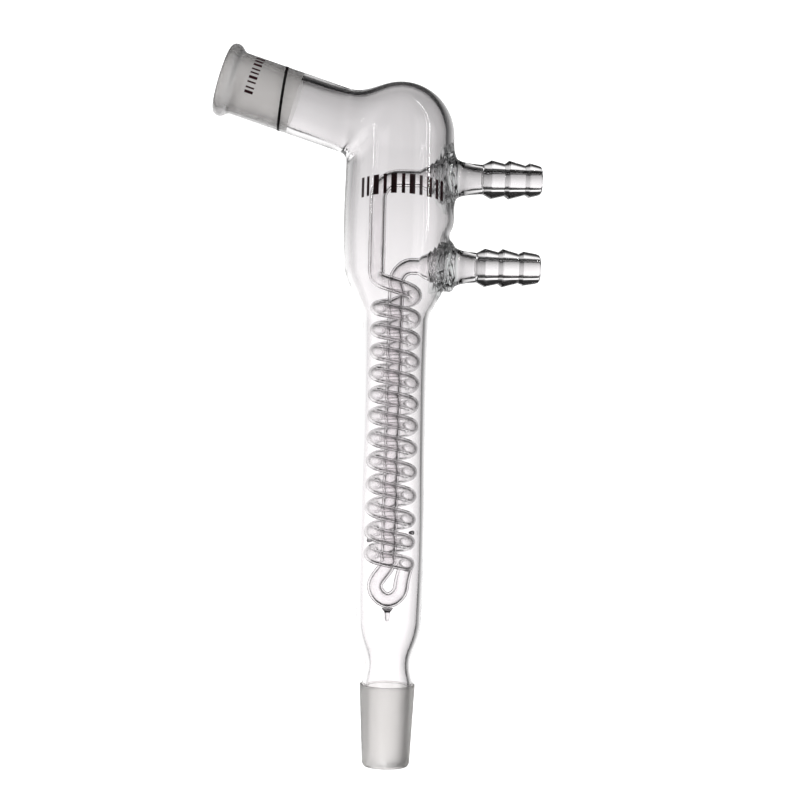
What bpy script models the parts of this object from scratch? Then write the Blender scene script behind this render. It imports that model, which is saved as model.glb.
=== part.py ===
"""Small coil reflux condenser with a slanted side socket, in clear laboratory glass.

The frame: +Z up along the jacket's axis, origin at the centre of the cone joint's lower end,
the hose barbs point to +X and the side arm rises to -X.  Sizes below are millimetres, and MM
turns them into metres.  The pieces are the ones that a glassblower fuses together: every butt
joint between two of them is left open by SEAM, so that each piece stays a solid of its own.
"""
import math

import bmesh
import bpy
from mathutils import Matrix, Vector

MM = 0.001
SEAM = 0.3                      # open gap where two pieces are fused

# Standard 14/20 ground joint: 14.5 mm at the wide end, 20 mm long, 1 in 10 taper
JOINT_WIDE_R = 7.25
JOINT_NARROW_R = 6.25
JOINT_LENGTH = 20.0

# Lower end: cone joint and the necked drip section above it
CONE_TIP_LENGTH = 1.4           # plain fire-polished tip below the ground length
CONE_TOP = CONE_TIP_LENGTH + JOINT_LENGTH
CONE_WALL = 1.35
NECK_WALL = 1.4
NECK_OUTLINE = [(8.55, 36.7), (8.3, 35.4), (7.9, 33.8), (7.3, 32.0), (6.65, 30.2), (6.2, 28.4),
                (6.05, 26.8), (6.15, 25.0), (6.45, 23.2), (6.7, CONE_TOP + SEAM)]

# Jacket tube and bulb
JACKET_R = 8.6
JACKET_BORE_R = 7.4
JACKET_BOTTOM = 37.0
JACKET_TOP = 116.7
BULB_R = 14.1
BULB_WALL = 1.5
DOME_CENTRE = 165.4             # height where the straight wall turns into the dome
SHOULDER_OUTLINE = [(14.1, 132.5), (13.85, 129.6), (13.0, 127.1), (11.7, 124.4), (10.2, 121.3),
                    (9.1, 119.0), (8.6, 117.0)]

# Side arm and socket, measured along the arm's axis from the bulb's axis
ARM_RISE = math.radians(17.0)
ARM_TURN = math.radians(4.0)    # the arm stands a little to the front of the barbs' plane
ARM_HEIGHT = 164.7              # where the arm's axis meets the bulb's axis
ARM_R = 8.1
ARM_BORE_R = 6.3
ARM_END = 28.5
MOUTH = 48.7
BEAD_R = 9.55
BEAD_LENGTH = 4.2

# Hose barbs and the ring seals behind them, measured from the bulb's axis
UPPER_PORT = 154.6
LOWER_PORT = 131.4
SEAL_R = 6.3
SEAL_END = 14.6
SEAL_HOLE_R = SEAL_R + SEAM
FUNNEL_START = 5.6
BARB_BORE_R = 1.9
BARB_END_R = 3.0

# Water tubes inside: down tube, coil, return bend, core tube
INSERT_TOP_X = 0.0              # the coil and its core lean a little:
INSERT_LOW_X = -0.4             # centred at the top, off the jacket's axis at the bottom
COIL_R = 4.6
COIL_TUBE_R = 2.05
TUBE_WALL = 0.9
PORT_TUBE_R = 2.25
CORE_R = 1.95
COIL_TOP = 126.26
FIRST_TURN_RISE = 1.9           # the first turn is steeper: it starts this much higher
FIRST_TURN_END = 0.9
COIL_PITCH = 5.86
COIL_TURNS = 12.5
# The turns are wound a little unevenly: turns from the top, and how much higher they lie there
COIL_DRIFT = [(0, 0), (1.5, -0.1), (2.5, 0.1), (3.5, 0.25), (4.6, 0.45), (5.6, 0.85), (6.7, 1.0),
              (7.7, 0.9), (8.8, 0.6), (9.8, 0.2), (10.9, -0.2), (11.8, -0.2), (12.5, 0)]
STEPS_PER_TURN = 10
LEAD_TURN = 0.1                 # share of the first turn taken up by the lead-in bend
STUB = 0.7                      # straight end of a bent tube, so that its cut is square
DOWN_X = -5.3
DOWN_BOTTOM = 130.8
INLET_BEND_R = 5.5
OUTLET_BEND_R = 4.2
CORE_BOTTOM = 53.5

# Three glass pips between the coil and the jacket, in the gap between two turns
PIP_R = 0.5
PIPS = [("spacer_front", 0.25, 11.5), ("spacer_right", 0.583, 10.5), ("spacer_left", 0.917, 10.55)]

CLEAR_GLASS = (0.90, 0.94, 0.93)
FROSTED_GLASS = (0.74, 0.76, 0.76)
TURN_STEPS = 32
BARB_STEPS = 24


def clear_scene():
    """Remove every object that the file opens with."""
    for item in list(bpy.data.objects):
        bpy.data.objects.remove(item, do_unlink=True)


def collection(name):
    """A new collection under the scene."""
    made = bpy.data.collections.new(name)
    bpy.context.scene.collection.children.link(made)
    return made


def glass(name, colour, roughness):
    """Principled material of a piece."""
    material = bpy.data.materials.new(name)
    material.use_nodes = True
    shader = material.node_tree.nodes["Principled BSDF"]
    shader.inputs["Base Color"].default_value = (*colour, 1.0)
    shader.inputs["Roughness"].default_value = roughness
    shader.inputs["Metallic"].default_value = 0.0
    shader.inputs["IOR"].default_value = 1.47
    return material


def add_object(name, mesh, group, frosted=False):
    """Link a mesh as a named piece with its own material."""
    piece = bpy.data.objects.new(name, mesh)
    group.objects.link(piece)
    colour, roughness = (FROSTED_GLASS, 0.6) if frosted else (CLEAR_GLASS, 0.05)
    mesh.materials.append(glass(name, colour, roughness))
    return piece


def aim(piece, base, direction):
    """Stand a piece turned about Z on the point base, with its axis along direction."""
    turn = Vector((0, 0, 1)).rotation_difference(Vector(direction)).to_matrix().to_4x4()
    piece.matrix_world = Matrix.Translation(Vector(base) * MM) @ turn


def turned(name, profile, group, closed=True, steps=TURN_STEPS, frosted=False):
    """Turn a profile of (radius, height) points about Z: down the outside, up the inside."""
    mesh = bpy.data.meshes.new(name)
    points = [(radius * MM, 0.0, height * MM) for radius, height in profile]
    edges = [(i, i + 1) for i in range(len(points) - 1)]
    if closed:
        edges.append((len(points) - 1, 0))
    mesh.from_pydata(points, edges, [])
    piece = add_object(name, mesh, group, frosted)
    screw = piece.modifiers.new("turn", "SCREW")
    screw.axis = "Z"
    screw.angle = math.tau
    screw.steps = steps
    screw.render_steps = steps
    screw.use_merge_vertices = True
    screw.merge_threshold = 0.00001
    screw.use_smooth_shade = True
    return piece


def offset_inward(outline, wall):
    """The same outline moved towards the axis by the wall, from bottom to top."""
    return [(radius - wall, height) for radius, height in reversed(outline)]


def arc(centre, radius, start, end, count):
    """Points of an arc in the (radius, height) plane, angles in degrees from outward."""
    points = []
    for i in range(count + 1):
        angle = math.radians(start + (end - start) * i / count)
        points.append((centre[0] + radius * math.cos(angle), centre[1] + radius * math.sin(angle)))
    return points


def cut(piece, cutter):
    """Take the cutter out of the piece."""
    modifier = piece.modifiers.new("cut " + cutter.name, "BOOLEAN")
    modifier.operation = "DIFFERENCE"
    modifier.solver = "EXACT"
    modifier.object = cutter


def as_cutter(piece):
    """Mark an object as a cutter, which is left out of the part."""
    piece.hide_render = True
    piece.display_type = "WIRE"
    return piece


def rod_cutter(name, radius, base, direction, start, end, group):
    """A plain rod from start to end along a direction, used as a cutter."""
    profile = [(0, end), (radius, end), (radius, start), (0, start)]
    rod = as_cutter(turned(name, profile, group, closed=False))
    aim(rod, base, direction)
    return rod


def tube(name, path, radius, wall, group):
    """A hollow tube with open ends along a list of points."""
    curve = bpy.data.curves.new(name, "CURVE")
    curve.dimensions = "3D"
    curve.bevel_depth = radius * MM
    curve.bevel_resolution = 2
    curve.use_fill_caps = False
    spline = curve.splines.new("POLY")
    spline.points.add(len(path) - 1)
    for point, place in zip(spline.points, path):
        point.co = (*(Vector(place) * MM), 1.0)
    guide = bpy.data.objects.new(name + "_guide", curve)
    group.objects.link(guide)
    evaluated = guide.evaluated_get(bpy.context.evaluated_depsgraph_get())
    mesh = bpy.data.meshes.new_from_object(evaluated)
    bpy.data.objects.remove(guide, do_unlink=True)
    mesh.materials.clear()
    face_outward(mesh)
    piece = add_object(name, mesh, group)
    shell = piece.modifiers.new("wall", "SOLIDIFY")
    shell.thickness = wall * MM
    shell.offset = -1.0
    shell.use_even_offset = True
    return piece


def face_outward(mesh):
    """Weld a bevelled curve's mesh, point its faces outward and shade it smooth."""
    net = bmesh.new()
    net.from_mesh(mesh)
    bmesh.ops.remove_doubles(net, verts=net.verts, dist=0.000001)
    bmesh.ops.recalc_face_normals(net, faces=net.faces)
    net.to_mesh(mesh)
    net.free()
    mesh.shade_smooth()


def hermite(start, leaving, end, arriving, count):
    """Smooth path between two points with the given end directions, both ends included."""
    p0, m0, p1, m1 = Vector(start), Vector(leaving), Vector(end), Vector(arriving)
    path = []
    for i in range(count + 1):
        t = i / count
        path.append(p0 * (2 * t**3 - 3 * t**2 + 1) + m0 * (t**3 - 2 * t**2 + t)
                    + p1 * (3 * t**2 - 2 * t**3) + m1 * (t**3 - t**2))
    return path


def elbow(corner_x, corner_z, radius, count=7):
    """Path from a ring seal, level towards -X and round a quarter bend to straight down."""
    centre = Vector((corner_x + radius, 0, corner_z - radius))
    path = [Vector((FUNNEL_START - SEAM, 0, corner_z))]
    for i in range(count + 1):
        angle = math.radians(90 * i / count)
        path.append(centre + Vector((-math.sin(angle), 0, math.cos(angle))) * radius)
    return path + [path[-1] - Vector((0, 0, STUB))]


def insert_x(height):
    """Where the leaning axis of the coil and core is at a height."""
    share = (height - CORE_BOTTOM) / (COIL_TOP - CORE_BOTTOM)
    return INSERT_LOW_X + (INSERT_TOP_X - INSERT_LOW_X) * min(max(share, 0), 1)


def drift(turns):
    """How much higher uneven winding puts the coil after a number of turns."""
    for (start, low), (end, high) in zip(COIL_DRIFT, COIL_DRIFT[1:]):
        if turns <= end:
            break
    return low + (high - low) * (turns - start) / (end - start)


def coil_point(turns):
    """Place on the coil's centreline after a number of turns from the upper left."""
    angle = math.pi + turns * math.tau
    steep = max(1 - turns / FIRST_TURN_END, 0)
    height = COIL_TOP - COIL_PITCH * turns + FIRST_TURN_RISE * steep**2 + drift(turns)
    return Vector((insert_x(height) + COIL_R * math.cos(angle), COIL_R * math.sin(angle), height))


def coil_direction(turns):
    """Unit direction of travel along the coil."""
    return (coil_point(turns + 0.001) - coil_point(turns - 0.001)).normalized()


def arm_axis():
    """Unit direction of the side arm, from the bulb to the socket's mouth."""
    level = math.cos(ARM_RISE)
    return Vector((-level * math.cos(ARM_TURN), -level * math.sin(ARM_TURN), math.sin(ARM_RISE)))


def make_cone_joint(group):
    """Ground cone with a fire-polished tip and a square top shoulder."""
    outside = [(JOINT_WIDE_R, CONE_TOP), (JOINT_NARROW_R, CONE_TIP_LENGTH),
               (JOINT_NARROW_R - 0.12, 0.5), (JOINT_NARROW_R - 0.45, 0.0)]
    inside = [(JOINT_NARROW_R - CONE_WALL, 0.0), (JOINT_NARROW_R - CONE_WALL + 0.05, CONE_TIP_LENGTH),
              (NECK_OUTLINE[-1][0] - NECK_WALL, CONE_TOP)]
    turned("cone_joint", outside + inside, group, frosted=True)


def make_jacket(group):
    """Necked drip section and the plain jacket tube above it."""
    turned("drip_neck", NECK_OUTLINE + offset_inward(NECK_OUTLINE, NECK_WALL), group)
    wall = [(JACKET_R, JACKET_TOP), (JACKET_R, JACKET_BOTTOM),
            (JACKET_BORE_R, JACKET_BOTTOM), (JACKET_BORE_R, JACKET_TOP)]
    turned("jacket_tube", wall, group)


def bulb_outline(grow):
    """Outside of the bulb from the top of the dome to the shoulder, grown by an amount."""
    dome = arc((0, DOME_CENTRE), BULB_R + grow, 90, 0, 9)
    return dome + [(radius + grow, height) for radius, height in SHOULDER_OUTLINE]


def make_bulb(group, cutters):
    """Bulb: domed shell with holes for the side arm and for both ring seals."""
    outline = bulb_outline(0)
    inside = bulb_outline(-BULB_WALL)
    inside[-1] = (JACKET_BORE_R, SHOULDER_OUTLINE[-1][1])
    bulb = turned("bulb", outline + inside[::-1], group, closed=False)
    holes = [rod_cutter("arm_bore", ARM_BORE_R, (0, 0, ARM_HEIGHT), arm_axis(), 4, 30, cutters)]
    for name, height in (("upper_port", UPPER_PORT), ("lower_port", LOWER_PORT)):
        holes.append(rod_cutter(name, SEAL_HOLE_R, (0, 0, height), (1, 0, 0), 6, 20, cutters))
    for hole in holes:
        cut(bulb, hole)


def make_side_arm(group, cutters):
    """Side arm: plain tube whose end is saddled to fit the outside of the bulb."""
    wall = [(ARM_R, ARM_END), (ARM_R, 6), (ARM_BORE_R, 6), (ARM_BORE_R, ARM_END)]
    arm = turned("side_arm", wall, group)
    aim(arm, (0, 0, ARM_HEIGHT), arm_axis())
    saddle = bulb_outline(SEAM) + [(0, SHOULDER_OUTLINE[-1][1])]
    cut(arm, as_cutter(turned("bulb_saddle", saddle, cutters, closed=False)))


def make_socket(group):
    """Ground socket with a rounded bead round its mouth."""
    root = ARM_END + SEAM
    bead_start = MOUTH - BEAD_LENGTH
    outside = [(BEAD_R - 1.1, MOUTH), (BEAD_R - 0.4, MOUTH - 0.35), (BEAD_R, MOUTH - 1.4),
               (BEAD_R - 0.15, MOUTH - 2.4), (BEAD_R - 0.7, bead_start + 1.0),
               (ARM_R + 0.3, bead_start + 0.35), (ARM_R, bead_start), (ARM_R, root)]
    inside = [(ARM_BORE_R, root), (JOINT_NARROW_R, root + 0.4), (JOINT_WIDE_R, MOUTH - 0.3),
              (JOINT_WIDE_R + 0.3, MOUTH)]
    socket = turned("socket_joint", outside + inside, group, frosted=True)
    aim(socket, (0, 0, ARM_HEIGHT), arm_axis())


def barb_outline(shift):
    """Outside of a hose barb from its end back to the seal; shift moves the teeth."""
    teeth = [(4.5, 34.3), (3.85, 33.2), (5.05, 28.9), (4.2, 27.8), (5.05, 24.3), (3.9, 22.2)]
    neck = [(3.95, 20.6), (4.1, 19.0), (4.35, 17.4), (4.8, 16.2), (5.6, 15.4), (SEAL_R, SEAL_END + SEAM)]
    tip = [(BARB_END_R, 37.7), (3.6, 37.3), (3.95, 36.4)]
    return tip + [(radius, place - shift) for radius, place in teeth] + neck


def make_barb(name, height, shift, group):
    """Hose barb with its flared neck and a bore that narrows to the end."""
    root = SEAL_END + SEAM
    inside = [(SEAL_R - 1.4, root), (3.9, 15.9), (3.1, 17.4), (2.6, 19.2), (2.3, 21.5),
              (BARB_BORE_R + 0.2, 24), (BARB_BORE_R, 37.7)]
    barb = turned(name, barb_outline(shift) + inside, group, steps=BARB_STEPS)
    aim(barb, (0, 0, height), (1, 0, 0))


def make_ring_seal(name, height, group):
    """Trumpet between an inner water tube and the wall, with the barb fused on outside."""
    outside = [(SEAL_R, SEAL_END), (SEAL_R, 12.0), (5.4, 10.8), (4.2, 9.2), (3.2, 7.6),
               (PORT_TUBE_R, FUNNEL_START)]
    inside = [(PORT_TUBE_R - TUBE_WALL, FUNNEL_START), (2.2, 7.6), (3.1, 9.2), (4.2, 11.0),
              (4.9, 12.8), (SEAL_R - 1.4, SEAL_END)]
    aim(turned(name, outside + inside, group, steps=BARB_STEPS), (0, 0, height), (1, 0, 0))


def make_port_tubes(group):
    """Elbows that lead from the ring seals to the down tube and from the core tube."""
    inlet_end = UPPER_PORT - INLET_BEND_R - STUB
    tube("inlet_elbow", elbow(DOWN_X, UPPER_PORT, INLET_BEND_R), PORT_TUBE_R, TUBE_WALL, group)
    tube("down_tube", [(DOWN_X, 0, inlet_end - SEAM), (DOWN_X, 0, DOWN_BOTTOM)],
         PORT_TUBE_R, TUBE_WALL, group)
    outlet_end = LOWER_PORT - OUTLET_BEND_R - STUB
    tube("outlet_elbow", elbow(INSERT_TOP_X, LOWER_PORT, OUTLET_BEND_R), CORE_R, TUBE_WALL, group)
    tube("core_tube", [(INSERT_TOP_X, 0, outlet_end - SEAM), (INSERT_LOW_X, 0, CORE_BOTTOM)],
         CORE_R, TUBE_WALL, group)


def make_coil(group):
    """The coil, with the bend that leads into it from the down tube."""
    top = Vector((DOWN_X, 0, DOWN_BOTTOM - SEAM))
    path = [top] + hermite(top - Vector((0, 0, STUB)), (0, 0, -6.5),
                           coil_point(LEAD_TURN), coil_direction(LEAD_TURN) * 4.5, 6)[:-1]
    steps = round((COIL_TURNS - LEAD_TURN) * STEPS_PER_TURN)
    for i in range(steps):
        path.append(coil_point(LEAD_TURN + (COIL_TURNS - LEAD_TURN) * i / steps))
    end = coil_point(COIL_TURNS)
    path += [end - coil_direction(COIL_TURNS) * STUB, end]
    tube("coil", path, COIL_TUBE_R, TUBE_WALL, group)


def make_return_bend(group):
    """U-shaped bend that takes the coil's lower end back up to the core tube."""
    leaving = coil_direction(COIL_TURNS)
    start = coil_point(COIL_TURNS) + leaving * SEAM
    right = Vector((3.1, 0.5, 47.0))
    bottom = Vector((INSERT_LOW_X, 0, 43.45))
    left = Vector((-3.85, 0, 47.2))
    top = Vector((INSERT_LOW_X, 0, CORE_BOTTOM - SEAM))
    path = [start] + hermite(start + leaving * STUB, leaving * 6, right, (-0.6, -0.6, -8), 7)[:-1]
    path += hermite(right, (-0.4, -0.4, -5.5), bottom, (-5.2, 0, 0), 5)[:-1]
    path += hermite(bottom, (-5.2, 0, 0), left, (0, 0, 5.5), 5)[:-1]
    path += hermite(left, (0, 0, 6), top - Vector((0, 0, STUB)), (0, 0, 5), 6) + [top]
    tube("return_bend", path, CORE_R, TUBE_WALL, group)


def make_drip_tip(group):
    """Solid point under the return bend, from which the condensate drops."""
    profile = [(0, 41.1), (1.55, 41.1), (1.2, 40.5), (0.75, 39.8), (0.62, 38.5), (0.35, 37.9), (0, 37.8)]
    tip = turned("drip_tip", profile, group, closed=False, steps=16)
    tip.location.x = INSERT_LOW_X * MM


def make_spacers(group):
    """Short pips that keep the coil off the jacket, in the gap between two turns."""
    for name, share, turn in PIPS:
        angle = math.pi + share * math.tau
        outward = Vector((math.cos(angle), math.sin(angle), 0))
        height = COIL_TOP - COIL_PITCH * (share + turn) + drift(share + turn)
        start, end = 5.0, JACKET_BORE_R - SEAM
        profile = [(0, end), (PIP_R, end), (PIP_R, start + 0.3), (PIP_R * 0.6, start), (0, start)]
        aim(turned(name, profile, group, closed=False, steps=12), (0, 0, height), outward)


def main():
    clear_scene()
    pieces = collection("coil_condenser")
    cutters = collection("cutters")
    make_cone_joint(pieces)
    make_jacket(pieces)
    make_bulb(pieces, cutters)
    make_side_arm(pieces, cutters)
    make_socket(pieces)
    make_barb("upper_hose_barb", UPPER_PORT, 0.0, pieces)
    make_barb("lower_hose_barb", LOWER_PORT, 1.2, pieces)
    make_ring_seal("upper_ring_seal", UPPER_PORT, pieces)
    make_ring_seal("lower_ring_seal", LOWER_PORT, pieces)
    make_port_tubes(pieces)
    make_coil(pieces)
    make_return_bend(pieces)
    make_drip_tip(pieces)
    make_spacers(pieces)
    bpy.context.view_layer.update()


main()
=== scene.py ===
import math

import bmesh
import bpy
import numpy as np
import openvdb
from mathutils import Matrix, Vector


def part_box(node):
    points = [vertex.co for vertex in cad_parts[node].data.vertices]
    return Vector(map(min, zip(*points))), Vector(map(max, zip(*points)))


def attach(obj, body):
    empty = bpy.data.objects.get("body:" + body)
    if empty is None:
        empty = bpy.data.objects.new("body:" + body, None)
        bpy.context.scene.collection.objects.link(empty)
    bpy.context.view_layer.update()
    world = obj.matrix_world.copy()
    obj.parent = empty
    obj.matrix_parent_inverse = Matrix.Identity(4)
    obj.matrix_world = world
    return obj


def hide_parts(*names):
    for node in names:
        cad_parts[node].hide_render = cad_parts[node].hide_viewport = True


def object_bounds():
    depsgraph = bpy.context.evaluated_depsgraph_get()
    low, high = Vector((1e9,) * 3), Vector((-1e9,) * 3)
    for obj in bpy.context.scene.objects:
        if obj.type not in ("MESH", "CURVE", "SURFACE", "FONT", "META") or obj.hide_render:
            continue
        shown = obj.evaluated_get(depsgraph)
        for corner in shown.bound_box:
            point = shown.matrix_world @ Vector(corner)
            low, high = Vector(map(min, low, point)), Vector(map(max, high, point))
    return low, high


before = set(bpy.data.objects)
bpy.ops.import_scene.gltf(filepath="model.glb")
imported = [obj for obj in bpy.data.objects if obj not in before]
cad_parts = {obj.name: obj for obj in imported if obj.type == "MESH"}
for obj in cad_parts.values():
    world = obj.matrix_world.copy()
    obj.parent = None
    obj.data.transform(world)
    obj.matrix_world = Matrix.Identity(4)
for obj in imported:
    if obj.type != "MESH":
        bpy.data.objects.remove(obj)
cad_low, cad_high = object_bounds()

# Everything below is in millimetres in the CAD frame; MM turns it into metres.
MM = 0.001


def limits(node):
    """Lowest and highest corner of a CAD node, in millimetres."""
    low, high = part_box(node)
    return np.array(low) / MM, np.array(high) / MM


def half_width(node):
    """Radius of an upright turned CAD node, from its depth in Y."""
    low, high = limits(node)
    return (high[1] - low[1]) / 2


def middle(node):
    """Centre of a CAD node's box."""
    low, high = limits(node)
    return (low + high) / 2


# Sizes read from the CAD nodes
CONE_TOP = limits("cone_joint")[1][2]
JACKET_R = half_width("jacket_tube")
BULB_R = half_width("bulb")
DOME_CENTRE = limits("bulb")[1][2] - BULB_R
PORTS = {side: middle(side + "_hose_barb")[2] for side in ("upper", "lower")}
BARB_END = limits("upper_hose_barb")[1][0]
SEAL_R = half_width("upper_ring_seal")
FUNNEL_START = limits("upper_ring_seal")[0][0]
DOWN_X = middle("down_tube")[0]
DOWN_BOTTOM = limits("down_tube")[0][2]
PORT_TUBE_R = half_width("down_tube")
CORE_R = half_width("core_tube") + 0.15

# Ground joints: radius at both ends of the taper
JOINT_WIDE_R = 7.25
JOINT_NARROW_R = 6.25

# Blown body: its outside as radius and height, and its wall as thickness and height
NECK_FOOT = 20.9
NECK = [(6.74, NECK_FOOT - 2), (6.74, NECK_FOOT), (6.72, CONE_TOP + 0.3), (6.45, 23.2), (6.15, 25.0),
        (6.05, 26.8), (6.2, 28.4), (6.65, 30.2), (7.3, 32.0), (7.9, 33.8), (8.3, 35.4), (8.55, 36.9),
        (JACKET_R, 39.0)]
SHOULDER = [(JACKET_R, 115.0), (8.65, 117.0), (9.1, 119.0), (10.2, 121.3), (11.7, 124.4), (13.0, 127.1),
            (13.85, 129.6), (BULB_R, 132.5), (BULB_R, DOME_CENTRE)]
DOME_BORE_R = 12.0
DOME_BORE_STRETCH = 1.06
WALLS = [(1.35, 0.0), (1.35, 21.0), (1.5, 26.0), (1.45, 36.0), (1.3, 42.0), (1.3, 116.0), (1.25, 124.0),
         (1.2, 140.0), (1.6, 156.0), (BULB_R - DOME_BORE_R, DOME_CENTRE)]
BULB_SHIFT = 0.35                  # the bulb stands to the right of the jacket's axis,
SHIFT_START = 116                  # from this height on
SHIFT_LENGTH = 14
DENT_DEPTH = 1.3                   # the lower weld pulls the wall in
DENT_HEIGHT = 138.9
DENT_REACH = (2.4, 5)              # up and sideways
ENVELOPE_CELL = 0.5
SEAM = 0.03                        # open gap to the cone and to the barbs
FUNNEL_GAP = 0.12                  # open gap between a trumpet and its seal
POLISHED_CORNER = 0.12             # corner radius of cone and barbs
MELTED_CORNER = 0.3                # and of the drip point and the pips

# Side arm and socket, with places along the arm's axis from the bulb's axis
ARM_RISE = math.radians(17.0)
ARM_TURN = math.radians(4.0)
ARM_HEIGHT = 164.7
ARM_R = 8.1
GROUND_START = 28.8
MOUTH = 48.7
ARM_BLEND = 2.2                    # reach of the blend into the bulb,
ARM_BLEND_MORE = 2.4               # which grows by this much over the arm,
ARM_BLEND_START = 162              # from this height on
ARM_BLEND_LENGTH = 10
ARM_BASE = np.array((0.0, 0.0, ARM_HEIGHT))
ARM_AXIS = np.array((-math.cos(ARM_RISE) * math.cos(ARM_TURN),
                     -math.cos(ARM_RISE) * math.sin(ARM_TURN), math.sin(ARM_RISE)))

# Ports, with places along X
PORT_SIDE = 8                      # welds and trumpets lie beyond this
PORT_START = 9.0
PORT_BLEND = 1.0
SEAL_START = 11.6
SEAL_MARGIN = 0.3                  # the melted disc is this much wider than the seal's tube
PORT_ENDS = {"upper": 21.9, "lower": 20.6}
TOOTH_SHIFT = {"upper": 0.0, "lower": 1.2}

# Folds of the ring seals: where they lie, from the bulb's axis and from the port's axis
FOLD_HEIGHT = 0.13
FOLD_DEPTHS = (11.0, 16.0)
FOLD_REACH = 9.0
FOLD_FADES = (1.2, 1.5, 2.0)       # where they start, where they end and at their reach
FOLD_WOBBLE = 1.1
FOLD_SLANT = 0.4
FUNNEL_FOLD_START = 8.2
FUNNEL_FOLD_SHARE = 1.6            # the inner trumpets fold more
FUNNEL_REACH = 7.5

# Coil and the tubes that lead to it
TUBE_WALL = 0.75
WALL_GROWTH = 0.12                 # the wall of a trumpet grows with its radius,
WALL_GROWTH_START = 2.4            # from this radius on
WALL_GROWTH_MOST = 0.4
COIL_R = 4.72
COIL_SHIFT = 0.12
COIL_TUBE_R = 2.05
COIL_PITCH = 5.86
COIL_TURNS = 12.5
LEAD_TURN = 0.1                    # share of the first turn taken up by the lead-in bend
# The turns are wound a little unevenly: turns from the top, and how much higher they lie there
COIL_UNEVEN = ((0, 1.5, 2.5, 3.5, 4.6, 5.6, 6.7, 7.7, 8.8, 9.8, 10.9, 11.8, 12.5),
               (0, -0.1, 0.1, 0.25, 0.45, 0.85, 1.0, 0.9, 0.6, 0.2, -0.2, -0.2, 0))
COIL_TOP = 126.26
FIRST_TURN_RISE = 1.9
FIRST_TURN_END = 0.9
CORE_BOTTOM = 53.5
LEAN_TOP_X = 0.0
LEAN_LOW_X = -0.4
INLET_BEND_R = 5.5
OUTLET_BEND_R = 4.2

# Prints: spans of the angle round the glass in degrees, heights of the bars on the bulb, and places of
# the ticks and the line along the arm's axis
PRINT_LIFT = 0.02
PRINT_THICKNESS = 0.05
BARS_FOOT = 148.0
BARS_HEIGHT = 5.0
BARS_DIP = 1.6                     # the row hangs lower at its ends
TICKS_START = 39.3
TICKS_LENGTH = 2.2
LINE_PLACE = 32.2
LINE_WAVE = 1.3                    # the line is drawn a little askew
LINE_HALF_WIDTH = 0.35
BULB_BARS = [(-43, -39.5), (-36, -33), (-28, -22), (-17, -13.5), (-9, -3), (2, 5.5), (10, 16), (20.5, 24),
             (29, 35), (40, 43.5), (47, 51)]
SOCKET_TICKS = [(-24, -19), (-15, -12), (-5, -2), (3, 8), (13, 16), (21, 24), (31, 36), (42, 46), (52, 58)]

# Light: brightness at an elevation, at a compass direction, at a grazing angle and at a height in metres
FULL_LIGHT = 1.35
LIGHT_UPWARD = [(-90, 1.0), (0, 0.96), (5, 0.82), (8, 0.73), (14, 0.62), (20, 0.48), (27, 0.43), (31, 0.36),
                (35, 0.05), (39, 0.02), (90, 0.01)]
LIGHT_AROUND = [(-180, 0.05), (-150, 0.05), (-108, 0.1), (-102, 0.9), (-78, 0.9), (-72, 0.2), (-62, 0.2),
                (-52, 0.6), (-45, 0.8), (-20, 0.93), (-8, 1.0), (0, 1.0), (4, 0.95), (9, 0.83), (16, 0.68),
                (26, 0.5), (40, 0.24), (52, 0.08), (65, 0.04), (118, 0.05), (124, 0.9), (146, 0.9),
                (152, 0.05), (180, 0.05)]
# Floor: painted reflection, brightest at a grazing angle
FLOOR_GRAZING = [(0, 0.03), (0.37, 0.04), (0.42, 0.12), (0.48, 0.45), (0.54, 0.8), (0.75, 1.0)]
SCREEN_DISTANCE = 0.35
SCREEN_HALF_WIDTH = 1.3
SCREEN_HEIGHT = 1.2
# Screen: painted light that fades upward
SCREEN_UPWARD = [(0, 1.0), (0.1, 0.94), (0.15, 0.85), (0.205, 0.71), (0.289, 0.46), (0.36, 0.35),
                 (0.40, 0.12), (0.43, 0.02), (1, 0.01)]
# Strip lights: azimuth, distance, width, height, height of the middle, power
STRIPS = {"right_strip": (63, 0.9, 0.02, 2.1, 1.29, 4), "left_strip": (-59, 0.9, 0.014, 0.14, 0.36, 0.12)}

# Floor, in metres
FLOOR_SIZE = 8.0
FLOOR_HEIGHT = -0.0004

# Camera, with its distance and height in metres
CAMERA_DISTANCE = 0.368
CAMERA_HEIGHT = 0.082
CAMERA_LENS = 62.93
CAMERA_SHIFT = (0.0095, 0.067)
CAMERA_ROLL = 1.3


# ---------------------------------------------------------------- materials

def new_material(name):
    """A node material with an empty Principled shader, its tree and the shader."""
    material = bpy.data.materials.new(name)
    material.use_nodes = True
    tree = material.node_tree
    return material, tree, tree.nodes["Principled BSDF"]


def object_place(tree):
    """The place on the object itself, in metres."""
    return tree.nodes.new("ShaderNodeTexCoord").outputs["Object"]


def noise(tree, scale, detail=3.0, stretch=(1, 1, 1)):
    """Noise over the object's own coordinates, in features per metre."""
    mapping = tree.nodes.new("ShaderNodeMapping")
    mapping.inputs["Scale"].default_value = stretch
    texture = tree.nodes.new("ShaderNodeTexNoise")
    texture.inputs["Scale"].default_value = scale
    texture.inputs["Detail"].default_value = detail
    tree.links.new(object_place(tree), mapping.inputs["Vector"])
    tree.links.new(mapping.outputs["Vector"], texture.inputs["Vector"])
    return texture.outputs["Fac"]


def bump(tree, shader, height, strength, distance):
    """Bump the shader's normal with a height."""
    node = tree.nodes.new("ShaderNodeBump")
    node.inputs["Strength"].default_value = strength
    node.inputs["Distance"].default_value = distance
    tree.links.new(height, node.inputs["Height"])
    tree.links.new(node.outputs["Normal"], shader.inputs["Normal"])


def spread(tree, value, low, high):
    """Map noise of 0 to 1 to a range."""
    node = tree.nodes.new("ShaderNodeMapRange")
    node.inputs["From Min"].default_value = 0.3
    node.inputs["From Max"].default_value = 0.7
    node.inputs["To Min"].default_value = low
    node.inputs["To Max"].default_value = high
    tree.links.new(value, node.inputs["Value"])
    return node.outputs["Result"]


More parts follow.
